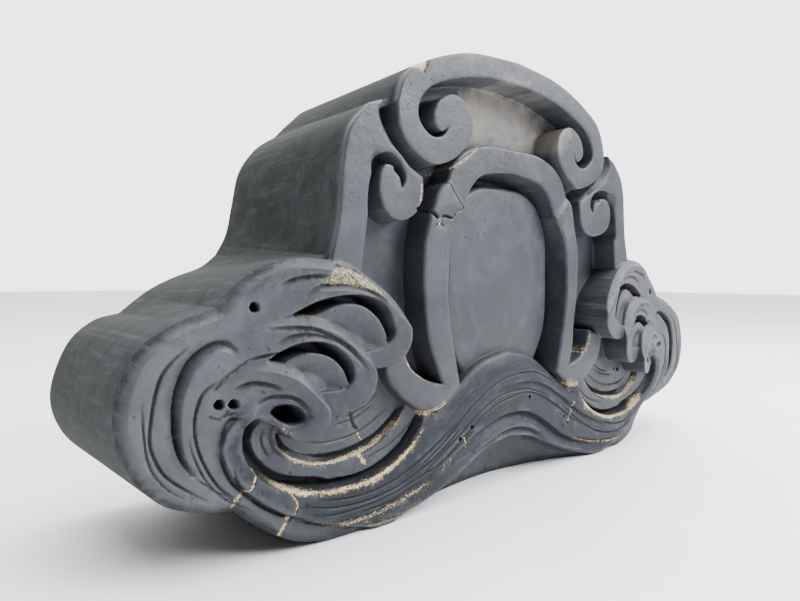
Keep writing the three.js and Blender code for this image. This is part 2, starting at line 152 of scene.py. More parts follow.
POOL_ROOT = [[0.33, 0.27], [0.39, 0.305], [0.43, 0.35], [0.5, 0.42], [0.771, 0.42]]
INNER_POOL_EDGE = [[0.704, 0.27], [0.684, 0.217], [0.581, 0.176], [0.5, 0.18], [0.44, 0.2], [0.395, 0.232],
                   [0.368, 0.262]]
INNER_POOL_ROOT = [[0.38, 0.295], [0.43, 0.35], [0.5, 0.4], [0.704, 0.4]]
CURL_EYE = [[0.724, 0.3], [0.716, 0.311], [0.699, 0.315], [0.681, 0.31], [0.667, 0.297], [0.665, 0.285],
            [0.674, 0.277], [0.694, 0.276], [0.712, 0.286], [0.724, 0.3]]
CRESTS = [
    {
        "tip": 0.405,
        "foot": 0.776,
        "outer": [[0.82, 0.49], [0.788, 0.532], [0.713, 0.59], [0.645, 0.603], [0.545, 0.589], [0.46, 0.534],
                  [0.413, 0.471], [0.408, 0.42], [0.438, 0.379], [0.49, 0.368]],
        "root": [[0.6, 0.4], [0.8, 0.42]],
        "hollow": [[0.675, 0.49], [0.615, 0.517], [0.54, 0.527], [0.476, 0.509], [0.449, 0.454],
                   [0.458, 0.428], [0.482, 0.412]],
        "hollow_root": [[0.56, 0.4], [0.66, 0.455]],
        "disc": [[0.64, 0.482], [0.612, 0.492], [0.586, 0.503], [0.552, 0.509], [0.518, 0.501],
                 [0.487, 0.477], [0.469, 0.446], [0.466, 0.426], [0.48, 0.4], [0.52, 0.385]],
    },
    {
        "tip": 0.5,
        "foot": 0.8,
        "outer": [[0.83, 0.46], [0.777, 0.476], [0.723, 0.489], [0.657, 0.487], [0.605, 0.476],
                  [0.56, 0.453], [0.516, 0.4], [0.503, 0.345], [0.525, 0.3], [0.57, 0.286], [0.61, 0.293]],
        "root": [[0.66, 0.3], [0.8, 0.36]],
        "hollow": [[0.73, 0.402], [0.681, 0.428], [0.634, 0.434], [0.594, 0.423], [0.561, 0.39],
                   [0.555, 0.355], [0.571, 0.333]],
        "hollow_root": [[0.645, 0.33], [0.7, 0.36]],
        "disc": [[0.7, 0.392], [0.681, 0.403], [0.657, 0.411], [0.629, 0.41], [0.6, 0.399], [0.579, 0.379],
                 [0.567, 0.356], [0.565, 0.338], [0.58, 0.316], [0.62, 0.305]],
    },
    {
        "tip": 0.615,
        "foot": 0.82,
        "outer": [[0.85, 0.37], [0.781, 0.398], [0.739, 0.403], [0.699, 0.394], [0.662, 0.374], [0.63, 0.33],
                  [0.617, 0.29], [0.63, 0.256], [0.66, 0.242], [0.694, 0.248], [0.712, 0.27]],
        "root": [[0.76, 0.3], [0.85, 0.33]],
    },
]

# Broken places of the left half, and the pale stain in the field under the arch
CREST_SCAR = [[0.578, 0.59], [0.596, 0.57], [0.622, 0.546], [0.559, 0.549], [0.507, 0.537], [0.474, 0.526],
              [0.486, 0.543], [0.508, 0.561], [0.545, 0.583]]
ARCH_CHIP = [[0.397, 1.034], [0.38, 1.06], [0.32, 1.09], [0.326, 1.062], [0.341, 1.034], [0.351, 1.046],
             [0.377, 1.04]]
FRAGMENT = [[0.345, 0.725], [0.33, 0.77], [0.297, 0.79], [0.248, 0.793], [0.195, 0.736], [0.219, 0.728],
            [0.237, 0.71], [0.269, 0.712], [0.284, 0.705], [0.3, 0.719]]
STAIN = [[0.13, 1.06], [0, 1.085], [-0.13, 1.06], [-0.23, 1.02], [-0.24, 0.975], [-0.17, 0.925],
         [0.05, 0.935], [0.15, 0.94]]

# The grid that the solid is worked out on: one half of the face, and levels through the depth
CELL = 0.6
FINE_LEVEL = 0.6
COARSE_LEVEL = 2.4
FINE_END = -20.0
HALF_WIDTH = 266.0
MARGIN = 12.0
half_x = np.arange(0, HALF_WIDTH, CELL, dtype=np.float32)
grid_z = np.arange(-3.0, high.z / MM + 3.0, CELL, dtype=np.float32)
full_x = np.concatenate([-half_x[:0:-1], half_x])
front_y = np.arange(CREST_FACE - 2.0, FINE_END, FINE_LEVEL, dtype=np.float32)
back_y = np.concatenate([
    np.arange(front_y[-1] + COARSE_LEVEL, BACK - 5.0, COARSE_LEVEL),
    np.arange(BACK - 4.0, BACK + 2.5, FINE_LEVEL),
]).astype(np.float32)
CURVE_STEPS = 6
SQRT_HALF = math.sqrt(0.5)


# Outlines and distances
def spline(run, steps=CURVE_STEPS):
    points = np.array(run, float)
    if len(points) < 3:
        return points
    padded = np.vstack([points[:1], points, points[-1:]])
    t = (np.arange(steps) / steps)[:, None]
    pieces = []
    for before, start, end, after in zip(padded, padded[1:], padded[2:], padded[3:]):
        leave, arrive = (end - before) / 2, (after - start) / 2
        pieces.append((2 * start - 2 * end + leave + arrive) * t ** 3
                      + (3 * end - 3 * start - 2 * leave - arrive) * t ** 2 + leave * t + start)
    return np.vstack(pieces + [points[-1:]])


def outline(*runs):
    points = np.vstack([spline(run) for run in runs])
    keep = np.hypot(*np.diff(points, axis=0, prepend=points[-1:]).T) > 1e-4
    return points[keep] * SPAN


def to_segment(gx, gz, start, end):
    along = end - start
    length_squared = float(along @ along)
    t = np.clip(((gx - start[0]) * along[0] + (gz - start[1]) * along[1]) / length_squared, 0, 1)
    return (gx - start[0] - t * along[0]) ** 2 + (gz - start[1] - t * along[1]) ** 2, t


def window(points, reach, grid_x):
    (x0, z0), (x1, z1) = points.min(0) - reach, points.max(0) + reach
    xs = slice(int(np.searchsorted(grid_x, x0)), int(np.searchsorted(grid_x, x1)))
    zs = slice(int(np.searchsorted(grid_z, z0)), int(np.searchsorted(grid_z, z1)))
    return xs, zs


def area(points, everywhere=False):
    """Distance to the edge of a closed outline, negative inside it, in a window around it. An edge along the
    middle line isn't one, because the shape goes on in the other half."""
    where = (slice(None), slice(None)) if everywhere else window(points, MARGIN, half_x)
    gx, gz = half_x[where[0]][:, None], grid_z[where[1]][None, :]
    squared = np.full((gx.size, gz.size), 1e9, np.float32)
    inside = np.zeros(squared.shape, bool)
    for start, end in zip(points, np.roll(points, -1, axis=0)):
        rise = end[1] - start[1]
        if abs(rise) > 1e-6:
            meets = start[0] + (gz - start[1]) / rise * (end[0] - start[0])
            inside ^= ((start[1] > gz) != (end[1] > gz)) & (gx < meets)
        if max(abs(start[0]), abs(end[0])) > 1e-3:
            squared = np.minimum(squared, to_segment(gx, gz, start, end)[0])
    distance = np.sqrt(squared)
    return where, np.where(inside, -distance, distance).astype(np.float32)


def round_and(a, b, r):
    """Where both solids are, with a rounded edge."""
    corner = np.sqrt(np.square(np.maximum(r + a, 0)) + np.square(np.maximum(r + b, 0)))
    return np.minimum(-r, np.maximum(a, b)) + corner


def round_or(a, b, r):
    """Both solids together, with a filleted corner."""
    corner = np.sqrt(np.square(np.maximum(r - a, 0)) + np.square(np.maximum(r - b, 0)))
    return np.maximum(r, np.minimum(a, b)) - corner


def ramp(value, start, end):
    t = np.clip((value - start) / (end - start), 0, 1)
    return t * t * (3 - 2 * t)


def noise(cell, seed):
    """Smooth noise from -1 to 1 over the whole face."""
    rng = np.random.default_rng(seed)
    count_x, count_z = (int((axis[-1] - axis[0]) / cell) + 3 for axis in (full_x, grid_z))
    knots = rng.uniform(-1, 1, (count_x, count_z)).astype(np.float32)
    fx, fz = (full_x - full_x[0]) / cell, (grid_z - grid_z[0]) / cell
    ix, iz = fx.astype(int), fz.astype(int)
    tx, tz = ramp(fx - ix, 0, 1)[:, None], ramp(fz - iz, 0, 1)[None, :]
    near = knots[ix][:, iz] * (1 - tx) + knots[ix + 1][:, iz] * tx
    far = knots[ix][:, iz + 1] * (1 - tx) + knots[ix + 1][:, iz + 1] * tx
    return (near * (1 - tz) + far * tz).astype(np.float32)


# Engraving: how deep each point of the face is cut, and where it is dusty, painted with shade or broken
cut = np.zeros((full_x.size, grid_z.size), np.float32)
dust = np.zeros_like(cut)
# dark holds painted shade: darkening laid into grooves, open cracks and holes
dark = np.zeros_like(cut)
scar = np.zeros_like(cut)
chip = np.zeros_like(cut)
stain = np.zeros_like(cut)


def along_line(points, reach):
    """Distance from a line, the share of its length passed, and the side (+1 to its right), in a window."""
    where = window(points, reach, full_x)
    gx, gz = full_x[where[0]][:, None], grid_z[where[1]][None, :]
    passed = np.concatenate([[0], np.cumsum(np.hypot(*np.diff(points, axis=0).T))])
    best = np.full((gx.size, gz.size), 1e9, np.float32)
    share = np.zeros_like(best)
    side = np.zeros_like(best)
    for i, (start, end) in enumerate(zip(points, points[1:])):
        squared, t = to_segment(gx, gz, start, end)
        nearer = squared < best
        best = np.where(nearer, squared, best)
        share = np.where(nearer, (passed[i] + t * (passed[i + 1] - passed[i])) / passed[-1], share)
        turn = (gx - start[0]) * (end[1] - start[1]) - (gz - start[1]) * (end[0] - start[0])
        side = np.where(nearer, np.sign(turn), side)
    return where, np.sqrt(best), share, side


def sides_of(run, both):
    points = spline(run) * SPAN
    yield points, 1.0
    if both:
        yield points * (-1, 1), -1.0


def fading(share, taper):
    """1 along a line, falling to 0 over the tapered share at both of its ends."""
    return np.sqrt(np.clip(np.minimum(share, 1 - share) / taper, 0, 1))


def around(x, z, reach):
    """Distance from a point given in shares of SPAN, in a window around it."""
    centre = np.array([[x * SPAN, z * SPAN]])
    where = window(centre, reach, full_x)
    across, upwards = full_x[where[0]][:, None] - centre[0, 0], grid_z[where[1]][None, :] - centre[0, 1]
    return where, np.hypot(across, upwards)


def deepen(layer, where, value):
    """Keeps the larger of what a layer holds and a new value."""
    layer[where] = np.maximum(layer[where], value)


def groove(run, width, depth, profile="v", both=True, taper=0.2, deposit=0.0, lean=0.0, shade=0.0,
           narrows=0.0):
    """Cuts a groove that fades out at both ends. With a lean, one wall is steep and the other a slope: +1
    puts the slope to the right of the run. What it narrows by is a share of its width, at the far end."""
    for points, mirror in sides_of(run, both):
        where, distance, share, side = along_line(points, 2.5 * width + 2)
        fade = fading(share, taper)
        half = width / 2 * (0.4 + 0.6 * fade) * (1 - narrows * share)
        if lean:
            sloping = side * mirror * lean > 0
            half = np.where(sloping, half * 1.7, np.maximum(half * 0.3, 0.8))
        reach = np.clip(distance / half, 0, 1)
        shape = 1 - reach if profile == "v" else np.sqrt(1 - reach ** 2)
        if profile == "step":
            shape = (1 - reach) ** 0.8
        deepen(cut, where, depth * fade * shape)
        # Painted shade along the groove, darkest near its middle
        if shade:
            deepen(dark, where, shade * fade * np.clip(1.6 - distance / (0.25 * width + 0.1), 0, 1))
        if deposit:
            middle = np.abs(distance - 0.25 * width) / (0.55 * width)
            deepen(dust, where, deposit * fade * np.clip(1.15 - middle, 0, 1))


def crack(run, width, depth, colour="dark"):
    """A thin uneven line, painted black with shade where it is open and pale where it is filled with dust.
    """
    for points, _ in sides_of(run, False):
        jitter = np.random.default_rng(len(points)).normal(0, 0.2, points.shape)
        where, distance, share, _ = along_line(points + jitter, width + 2)
        fade = fading(share, 0.1)
        shape = np.clip(1 - distance / (width * (0.3 + 0.7 * fade)), 0, 1)
        deepen(cut, where, depth * shape)
        if colour == "dark":
            deepen(dark, where, np.clip(1.6 * shape, 0, 1))
        else:
            deepen(dust, where, np.clip(shape * width, 0, 1))


def hole(x, z, radius, depth, both=True, filled=0.0):
    """A hole poked in the wet clay, painted dark inside as its shade, or pale where it is filled."""
    for mirror in ((1, -1) if both else (1,)):
        where, distance = around(x * mirror, z, radius + 2)
        inside = np.clip((radius - distance) / 0.7, 0, 1)
        deepen(cut, where, depth * inside)
        deepen(dust if filled else dark, where, inside * (filled or 0.7))


def half_of(layer, side):
    """A view of one half of a layer, from the middle line outwards."""
    middle = half_x.size - 1
    return layer[middle:] if side > 0 else layer[middle::-1]


# Lobe at each side: parallel ripples, the deep crescent and the lines inside it
def engrave_lobes():
    thin = [
        [[0.958, 0.348], [0.949, 0.245], [0.919, 0.191], [0.884, 0.163]],
        [[0.867, 0.198], [0.83, 0.165], [0.79, 0.142]],
        [[0.878, 0.275], [0.872, 0.245], [0.848, 0.19], [0.81, 0.145], [0.755, 0.11]],
        [[0.801, 0.205], [0.787, 0.17], [0.762, 0.135]],
        [[0.818, 0.164], [0.801, 0.144], [0.78, 0.126]],
        [[0.66, 0.07], [0.6, 0.04], [0.54, 0.032]],
    ]
    for run in thin:
        groove(run, 1.3, 1.4, shade=0.9)
    groove([[0.875, 0.44], [0.925, 0.389], [0.945, 0.293], [0.937, 0.245], [0.912, 0.204],
            [0.843, 0.147]], 1.9, 2.0, shade=0.85)
    groove([[0.785, 0.425], [0.809, 0.442], [0.843, 0.436], [0.878, 0.409], [0.898, 0.368], [0.906, 0.321],
            [0.903, 0.273], [0.891, 0.232],
            [0.867, 0.198]], 8.0, 6.0, lean=1, taper=0.3, shade=0.85, narrows=0.6)
    groove([[0.819, 0.372], [0.853, 0.348], [0.867, 0.3], [0.862, 0.252], [0.843, 0.204], [0.816, 0.163],
            [0.781, 0.136]], 1.9, 2.0, shade=0.85)
    groove([[0.822, 0.247], [0.817, 0.219], [0.801, 0.181], [0.779, 0.155], [0.745, 0.122], [0.703, 0.092],
            [0.665, 0.075], [0.626, 0.06]], 2.1, 2.3, shade=0.9)
    groove([[0.778, 0.298], [0.806, 0.29], [0.822, 0.247]], 1.6, 1.4, shade=0.6)
    groove([[0.658, 0.069], [0.626, 0.053], [0.577, 0.04], [0.534, 0.037], [0.477, 0.037], [0.396, 0.049],
            [0.331, 0.067], [0.288, 0.08]], 3.4, 2.2)
    pale_lip([[0.64, 0.055], [0.577, 0.036], [0.534, 0.033], [0.477, 0.033], [0.396, 0.045], [0.331, 0.063],
              [0.288, 0.076]], 1.0, 0.6)


# Pools: deep grooves with pale deposits on their lower walls, and fine lines between them
def engrave_pools():
    groove([[0.745, 0.292], [0.765, 0.269], [0.768, 0.235], [0.75, 0.198], [0.712, 0.164], [0.655, 0.141],
            [0.587, 0.128]], 6.5, 6.5, "u", taper=0.12, shade=0.7)
    groove([[0.7, 0.156], [0.655, 0.139], [0.587, 0.126], [0.5, 0.123], [0.436, 0.139], [0.38, 0.172],
            [0.34, 0.215], [0.325, 0.245]], 3.4, 5.0, "u", taper=0.12, shade=0.7)
    groove([[0.704, 0.265], [0.684, 0.217], [0.643, 0.189], [0.581, 0.176], [0.512, 0.179], [0.444, 0.2],
            [0.4, 0.23], [0.375, 0.258]], 4.2, 4.0, "u", taper=0.12, shade=0.5)
    thin = [
        [[0.637, 0.225], [0.605, 0.211], [0.57, 0.207], [0.529, 0.209], [0.495, 0.216], [0.452, 0.234],
         [0.407, 0.264]],
        [[0.734, 0.262], [0.734, 0.241], [0.728, 0.223], [0.716, 0.206]],
        [[0.722, 0.262], [0.71, 0.228], [0.698, 0.211], [0.682, 0.195]],
        [[0.722, 0.283], [0.719, 0.26], [0.704, 0.229]],
        [[0.478, 0.157], [0.417, 0.175], [0.375, 0.197], [0.332, 0.234]],
        [[0.5, 0.166], [0.44, 0.19], [0.385, 0.235]],
        [[0.56, 0.24], [0.5, 0.25], [0.45, 0.275]],
        [[0.53, 0.255], [0.48, 0.27], [0.44, 0.3]],
    ]
    for run in thin:
        groove(run, 1.5, 1.2, shade=0.7)
    pale_lip([[0.742, 0.182], [0.709, 0.152], [0.672, 0.133], [0.616, 0.115], [0.546, 0.109], [0.489, 0.111],
              [0.45, 0.12], [0.409, 0.137], [0.367, 0.163], [0.336, 0.19], [0.318, 0.22]], 1.2, 0.95)
    pale_lip([[0.706, 0.238], [0.698, 0.225], [0.679, 0.203], [0.65, 0.184], [0.61, 0.171], [0.568, 0.166],
              [0.516, 0.171], [0.466, 0.183], [0.426, 0.202], [0.393, 0.226], [0.368, 0.253]], 0.75, 0.95)
    pale_lip([[0.34, 0.24], [0.31, 0.24], [0.28, 0.242], [0.25, 0.257]], 2.2, 0.75)
    pale_lip([[0.397, 0.398], [0.368, 0.352], [0.33, 0.324]], 0.7, 0.7)
    pale_lip([[0.664, 0.487], [0.645, 0.487], [0.625, 0.484]], 0.8, 0.6)
    pale_lip([[0.706, 0.404], [0.695, 0.403], [0.682, 0.398]], 0.8, 0.45)
    pale_lip([[0.713, 0.276], [0.702, 0.262], [0.69, 0.255]], 1.0, 0.45)


def pale_lip(run, width, strength):
    """A strip of pale deposit along a line."""
    for points, _ in sides_of(run, True):
        where, distance, share, _ = along_line(points, 2 * width)
        deepen(dust, where, strength * fading(share, 0.15) * np.clip(1.5 - distance / width, 0, 1))


# Stream: long lines that follow its arch, and three overlapping steps like shingles
def engrave_stream():
    lines = [
        [[-0.336, 0.114], [-0.25, 0.165], [-0.153, 0.235], [-0.046, 0.287], [0.078, 0.3], [0.17, 0.273],
         [0.25, 0.225]],
        [[-0.336, 0.088], [-0.213, 0.162], [-0.112, 0.222], [-0.027, 0.251], [0.065, 0.253], [0.106, 0.244],
         [0.165, 0.223]],
        [[-0.33, 0.066], [-0.2, 0.15], [-0.1, 0.21], [0.0, 0.238], [0.09, 0.24], [0.2, 0.19], [0.3, 0.13],
         [0.42, 0.088]],
        [[-0.632, 0.074], [-0.598, 0.063], [-0.534, 0.058], [-0.437, 0.065], [-0.331, 0.089],
         [-0.253, 0.116], [-0.15, 0.172]],
        [[-0.668, 0.1], [-0.581, 0.076], [-0.497, 0.07], [-0.396, 0.084], [-0.29, 0.126], [-0.19, 0.19]],
        [[-0.62, 0.1], [-0.55, 0.088], [-0.48, 0.087], [-0.4, 0.103], [-0.3, 0.148], [-0.2, 0.21]],
        [[-0.5, 0.048], [-0.42, 0.053], [-0.33, 0.078]],
        [[0.64, 0.085], [0.57, 0.06], [0.49, 0.06], [0.4, 0.085], [0.3, 0.14], [0.2, 0.21]],
        [[0.64, 0.06], [0.56, 0.035], [0.48, 0.038]],
        [[0.66, 0.11], [0.6, 0.085], [0.52, 0.085], [0.44, 0.105]],
    ]
    for run in lines:
        groove(run, 1.7, 1.4, both=False, shade=0.6)
    steps = [
        ([[-0.07, 0.253], [-0.027, 0.268], [0.078, 0.271], [0.156, 0.251], [0.273, 0.186], [0.34, 0.143],
          [0.46, 0.093]], 5.5, 2.2),
        ([[-0.24, 0.105], [-0.157, 0.148], [-0.123, 0.163], [-0.026, 0.189], [0.059, 0.187], [0.137, 0.156],
          [0.236, 0.094], [0.329, 0.059], [0.419, 0.038], [0.5, 0.036]], 8.0, 4.2),
        ([[-0.14, 0.11], [-0.076, 0.133], [-0.025, 0.147], [0.04, 0.147], [0.109, 0.125], [0.183, 0.076],
          [0.301, 0.036], [0.38, 0.02]], 6.0, 3.2),
    ]
    for run, width, depth in steps:
        groove(run, width, depth, "step", both=False, lean=1)
    groove([[-0.556, 0.021], [-0.416, 0.012], [-0.252, 0.035],
            [-0.16, 0.07]], 2.2, 1.4, both=False, deposit=0.4)
    groove([[-0.294, 0.079], [-0.22, 0.118], [-0.14, 0.15]], 2.4, 1.4, both=False, deposit=0.4)


# Crests: short lines on the faces
def engrave_crests():
    lines = [
        [[0.7, 0.544], [0.682, 0.556], [0.66, 0.562], [0.632, 0.566], [0.6, 0.566]],
        [[0.652, 0.524], [0.628, 0.54], [0.606, 0.547], [0.559, 0.547], [0.511, 0.537], [0.467, 0.51]],
        [[0.73, 0.462], [0.698, 0.464], [0.669, 0.464], [0.635, 0.459], [0.604, 0.445], [0.568, 0.422],
         [0.545, 0.398], [0.525, 0.37]],
        [[0.713, 0.43], [0.693, 0.443], [0.669, 0.449], [0.638, 0.448], [0.607, 0.44], [0.575, 0.428]],
        [[0.796, 0.351], [0.777, 0.36], [0.759, 0.363], [0.734, 0.358], [0.71, 0.348]],
        [[0.758, 0.323], [0.734, 0.333], [0.71, 0.334], [0.685, 0.327], [0.665, 0.309], [0.654, 0.287]],
    ]
    for run in lines:
        groove(run, 3.4, 2.3, lean=-1, taper=0.25, shade=0.9)
    groove([[0.7, 0.416], [0.735, 0.411], [0.77, 0.403]], 2.2, 2.4, taper=0.5, shade=0.8)
    groove([[0.655, 0.488], [0.675, 0.486], [0.7, 0.482]], 1.8, 1.0, taper=0.5, shade=0.4)


def bowl(x, z, radius, depth):
    """A smooth dish pressed into both halves."""
    for mirror in (1, -1):
        where, distance = around(x * mirror, z, radius)
        deepen(cut, where, depth * ramp(distance, radius, 0.1 * radius))


def poke_holes():
    for x, z in ((0.7515, 0.505), (0.8214, 0.3257), (0.795, 0.324)):
        hole(x, z, 2.5, 9.0)
    hole(0.6, 0.255, 2.0, 4.0)
    hole(0.574, 0.261, 1.8, 2.0, filled=1.0)
    hole(0.875, 0.204, 1.0, 1.5)
    for x, z in ((0.078, 0.23), (-0.157, 0.18), (-0.2, 0.157)):
        hole(x, z, 1.5, 5.0, both=False)
    for x, z in ((0.243, 0.15), (0.26, 0.128), (0.236, 0.122)):
        hole(x, z, 1.1, 1.6, both=False)


# Damage: cracks and breaks, most of them on the left half, and the stain
def break_places():
    pale = [
        ([[-0.718, 0.16], [-0.692, 0.141], [-0.676, 0.125], [-0.666, 0.105], [-0.673, 0.078]], 1.0),
        ([[-0.683, 0.069], [-0.692, 0.058], [-0.7, 0.044]], 1.4),
        ([[-0.759, 0.196], [-0.755, 0.182], [-0.767, 0.157], [-0.787, 0.143], [-0.796, 0.12]], 1.0),
        ([[-0.781, 0.155], [-0.758, 0.132]], 0.8),
        ([[-0.495, 0.222], [-0.488, 0.205], [-0.474, 0.188]], 1.0),
        ([[-0.505, 0.175], [-0.493, 0.164], [-0.482, 0.145]], 2.0),
        ([[-0.134, 0.9], [-0.169, 0.873], [-0.243, 0.825], [-0.269, 0.81]], 1.0),
        ([[-0.34, 0.776], [-0.315, 0.801], [-0.297, 0.793], [-0.274, 0.791]], 1.5),
        ([[-0.34, 0.776], [-0.338, 0.763], [-0.345, 0.729]], 1.0),
        ([[-0.281, 0.704], [-0.276, 0.698], [-0.283, 0.688]], 1.3),
        ([[0.3, 0.19], [0.285, 0.165], [0.262, 0.13]], 1.0),
        ([[-0.19, 0.165], [-0.175, 0.14], [-0.155, 0.125]], 1.0),
    ]
    for run, width in pale:
        crack(run, width, 0.8, "pale")
    black = [
        ([[-0.352, 0.725], [-0.329, 0.725], [-0.313, 0.724], [-0.3, 0.719], [-0.284, 0.705]], 1.5, 4.0),
        ([[-0.272, 0.712], [-0.254, 0.713], [-0.237, 0.709]], 1.1, 2.5),
        ([[-0.237, 0.709], [-0.219, 0.728], [-0.195, 0.736]], 0.8, 1.2),
        ([[-0.249, 0.796], [-0.222, 0.765], [-0.194, 0.735]], 1.0, 1.8),
        ([[-0.279, 0.703], [-0.275, 0.696], [-0.269, 0.687]], 0.8, 1.0),
        ([[-0.292, 0.691], [-0.279, 0.688]], 0.8, 0.8),
        ([[-0.515, 0.266], [-0.507, 0.24], [-0.495, 0.222]], 1.0, 1.6),
        ([[-0.768, 0.405], [-0.79, 0.388], [-0.809, 0.375], [-0.831, 0.353]], 0.8, 0.8),
        ([[-0.84, 0.308], [-0.824, 0.298], [-0.808, 0.304], [-0.79, 0.308]], 0.8, 0.8),
        ([[-0.808, 0.304], [-0.803, 0.315]], 0.8, 0.8),
    ]
    for run, width, depth in black:
        crack(run, width, depth)
    hole(-0.68, 0.074, 2.0, 1.5, both=False, filled=1.0)
    hole(-0.787, 0.14, 1.8, 1.2, both=False, filled=0.9)
    blot(CREST_SCAR, 1.1, scar, grain=0.45)
    blot(ARCH_CHIP, 2.2, chip, grain=0.2)
    blot(FRAGMENT, -0.5, None, grain=0.0, ragged=0.2)
    for side in (-1, 1):
        blot([[-side * x, z] for x, z in STAIN], 0.0, stain, side, grain=0.0, ragged=4.0, soft=5.0)


def blot(outline_points, depth, layer, side=-1, grain=0.3, ragged=0.7, soft=0.6):
    """A broken or stained place on one half, whose outline is given as if it lay on the right half."""
    where, shape = area(np.array(outline_points) * SPAN)
    shape = shape + half_of(ragged * (noise(4.0, 41) + 0.5 * noise(1.8, 42)), side)[where]
    inside = ramp(shape, soft, -soft)
    surface = half_of(cut, side)
    surface[where] += inside * (depth + grain * half_of(noise(2.0, 43) + noise(1.4, 44), side)[where])
    if layer is not None:
        target = half_of(layer, side)
        target[where] = np.maximum(target[where], inside)


engrave_lobes()
engrave_pools()
engrave_stream()
engrave_crests()
bowl(0.728, 0.303, 9.0, 3.5)
poke_holes()
break_places()
face_noise = 0.35 * noise(34.0, 3) + 0.15 * noise(12.0, 4) + 0.06 * noise(4.0, 5)


# The carved front, one half at a time
body_front = area(outline(*BODY_FRONT), True)[1]
body_back = area(outline(*BODY_BACK), True)[1]


def body_at(levels):
    t = np.clip((levels - behind(RIM_SET)) / (BACK - behind(RIM_SET)), 0, 1)[None, None, :]
    return body_front[..., None] * (1 - t) + body_back[..., None] * t


def upward(shape):
    """How much each point's nearest edge faces up, from 0 to 1."""
    return ramp(np.gradient(shape, CELL, axis=1), 0.1, 0.75).astype(np.float32)


ROOT_INSET = 2.0


def proud(solid, where_and_shape, face, edge=1.2, fillet=1.2, bevel=None):
    where, shape = where_and_shape
    over = face[where][..., None] - front_y
    lump = round_and(shape[..., None], over, edge)
    if bevel is not None:
        lump = np.maximum(lump, (shape[..., None] + over + bevel[..., None]) * SQRT_HALF)
    sink = ROOT_INSET * np.clip((front_y - behind(RIM_SET)) / 3, 0, 1)
    lump = np.maximum(lump, body_front[where][..., None] + sink)
    lump = np.maximum(lump, front_y - FLOOR_OF_CUT)
    solid[where] = round_or(solid[where], lump, fillet)


def sunk(solid, where_and_shape, floor, edge=0.8, fillet=1.5):
    where, shape = where_and_shape
    cutter = round_and(shape[..., None], front_y - floor[where][..., None], fillet)
    solid[where] = round_and(solid[where], -cutter, edge)


arch = area(outline(ARCH_UNDERSIDE, ARCH_CURL, ARCH_TOP[::-1]))
shoulder = area(outline(BODY_FRONT[1][1:], SHOULDER_ROOT, SHOULDER_GROOVE[::-1], SHOULDER_LOBE[::-1],
                        SHOULDER_BAND[::-1]))
arc = area(outline(ARC_OUTER, ARC_INNER))
side_band = area(outline(SIDE_OUTER, HOOK_UPPER, HOOK_LOWER, SIDE_INNER))
moat = area(outline(ARC_INNER[::-1], SIDE_INNER[::-1], [[0, SIDE_INNER[0][1]]]))
boss = area(outline(BOSS_EDGE, [[0, BOSS_EDGE[-1][1]]]))
field = area(outline(*[[point] for point in FIELD_EDGE]))
water = area(outline(STREAM_CROWN[::-1], WATER_ROOT, WATER_EDGE, WATER_FOOT, STREAM_UNDERSIDE[::-1]))
pool = area(outline(POOL_EDGE, POOL_ROOT))
inner_pool = area(outline(INNER_POOL_EDGE, INNER_POOL_ROOT))
slab_reach = STREAM_UNDERSIDE[-1][0]
under_stream = area(outline(STREAM_UNDERSIDE, [[slab_reach, -SLAB_DROP], [0, -SLAB_DROP]]))
eye = area(outline(CURL_EYE))
crest_areas = []
for crest in CRESTS:
    parts = {"outer": area(outline(crest["outer"], crest["root"]))}
    if "hollow" in crest:
        parts["hollow"] = area(outline(crest["hollow"], crest["hollow_root"]))
        parts["disc"] = area(outline(crest["disc"], crest["hollow_root"]))
    crest_areas.append(parts)


def leaning(crest, extra=0.0):
    lean = (behind(RIM_SET) - CREST_FACE) / ((crest["foot"] - crest["tip"]) * SPAN)
    return CREST_FACE + extra + np.maximum(0, half_x - crest["tip"] * SPAN)[:, None] * lean


# The lowest crest runs smoothly into the pool beside its eye
near_root = np.hypot(half_x[:, None] - 0.745 * SPAN, grid_z[None, :] - 0.283 * SPAN)
root_fillet = 1.0 + 9.0 * ramp(near_root, 17.0, 6.0)


